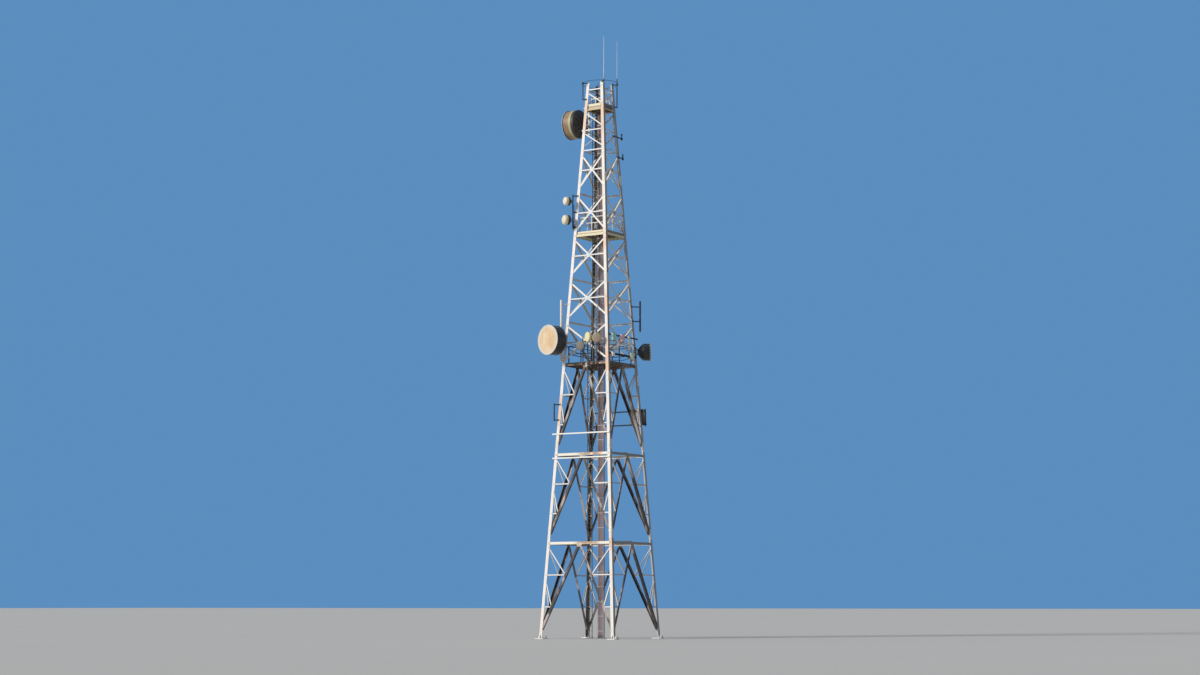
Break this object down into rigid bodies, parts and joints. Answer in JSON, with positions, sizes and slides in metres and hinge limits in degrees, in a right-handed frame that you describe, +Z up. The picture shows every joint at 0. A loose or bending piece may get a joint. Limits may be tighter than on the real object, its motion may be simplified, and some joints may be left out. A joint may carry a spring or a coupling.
{
  "type": "lattice radio mast",
  "caption": "Square tapered lattice mast of steel angles, self-supporting, with three platforms, ladder and cable column, drum-shaped dishes and small aerials.",
  "frame": {"origin": "the tower's axis, level with the undersides of the four base plates", "axes": "+Z up the tower, -Y out of the front face that the camera sees sunlit, +X out of the right face"},
  "size_m": [5.72, 6.1788, 37.45],
  "materials": {
    "pale_steel": "pale grey, matte, weathered",
    "grey_steel": "mid grey, matte, weathered",
    "deck_grating": "dull zinc grey",
    "cable_jacket": "matte black jacket",
    "dark_shroud": "dark grey, satin",
    "pale_shroud": "cream grey, satin",
    "radome_cover": "cream sheet, matte",
    "small_dish_white": "off-white, satin",
    "small_dish_grey": "grey, satin",
    "aerial_white": "off-white glass fibre, satin",
    "equipment_grey": "light grey, satin"
  },
  "bodies": {
    "root": {"back_left_leg": "pale_steel", "back_level_beams": "pale_steel", "back_lower_bracing": "pale_steel", "back_right_leg": "pale_steel", "back_upper_bracing": "pale_steel", "cable_tray": "grey_steel", "column_bars": "grey_steel", "column_foot_plate": "grey_steel", "equipment_frame": "grey_steel", "equipment_units": "equipment_grey", "feeder_cables": "cable_jacket", "front_dish_drum": "dark_shroud", "front_dish_mount": "grey_steel", "front_dish_pole": "pale_steel", "front_dish_radome": "radome_cover", "front_left_leg": "pale_steel", "front_level_beams": "pale_steel", "front_lower_bracing": "pale_steel", "front_mounting_bars": "pale_steel", "front_right_leg": "pale_steel", "front_upper_bracing": "pale_steel", "front_whip_aerial": "aerial_white", "left_level_beams": "pale_steel", "left_lower_bracing": "pale_steel", "left_ring_pole": "pale_steel", "left_upper_bracing": "pale_steel", "leg_base_plates": "pale_steel", "low_pole_frame": "grey_steel", "lower_ladder": "grey_steel", "lower_small_dish": "small_dish_white", "main_platform_deck": "deck_grating", "main_platform_rail": "pale_steel", "panel_aerials": "aerial_white", "platform_dish_left": "small_dish_white", "platform_dish_low": "small_dish_grey", "platform_dish_poles": "grey_steel", "platform_dish_right": "small_dish_white", "rest_platform_deck": "deck_grating", "right_aerial_frame": "grey_steel", "right_dish_drum": "dark_shroud", "right_dish_mount": "grey_steel", "right_dish_pole": "pale_steel", "right_dish_radome": "radome_cover", "right_level_beams": "pale_steel", "right_lower_bracing": "pale_steel", "right_ring_pole": "pale_steel", "right_side_pole": "pale_steel", "right_upper_bracing": "pale_steel", "right_whip_aerial": "aerial_white", "small_dish_pole": "pale_steel", "top_dish_drum": "pale_shroud", "top_dish_mount": "grey_steel", "top_dish_pole": "pale_steel", "top_dish_radome": "radome_cover", "top_guard_ring": "pale_steel", "top_platform_deck": "deck_grating", "upper_ladder": "grey_steel", "upper_platform_rails": "pale_steel", "upper_right_bars": "grey_steel", "upper_small_dish": "small_dish_white"}
  },
  "joints": []
}
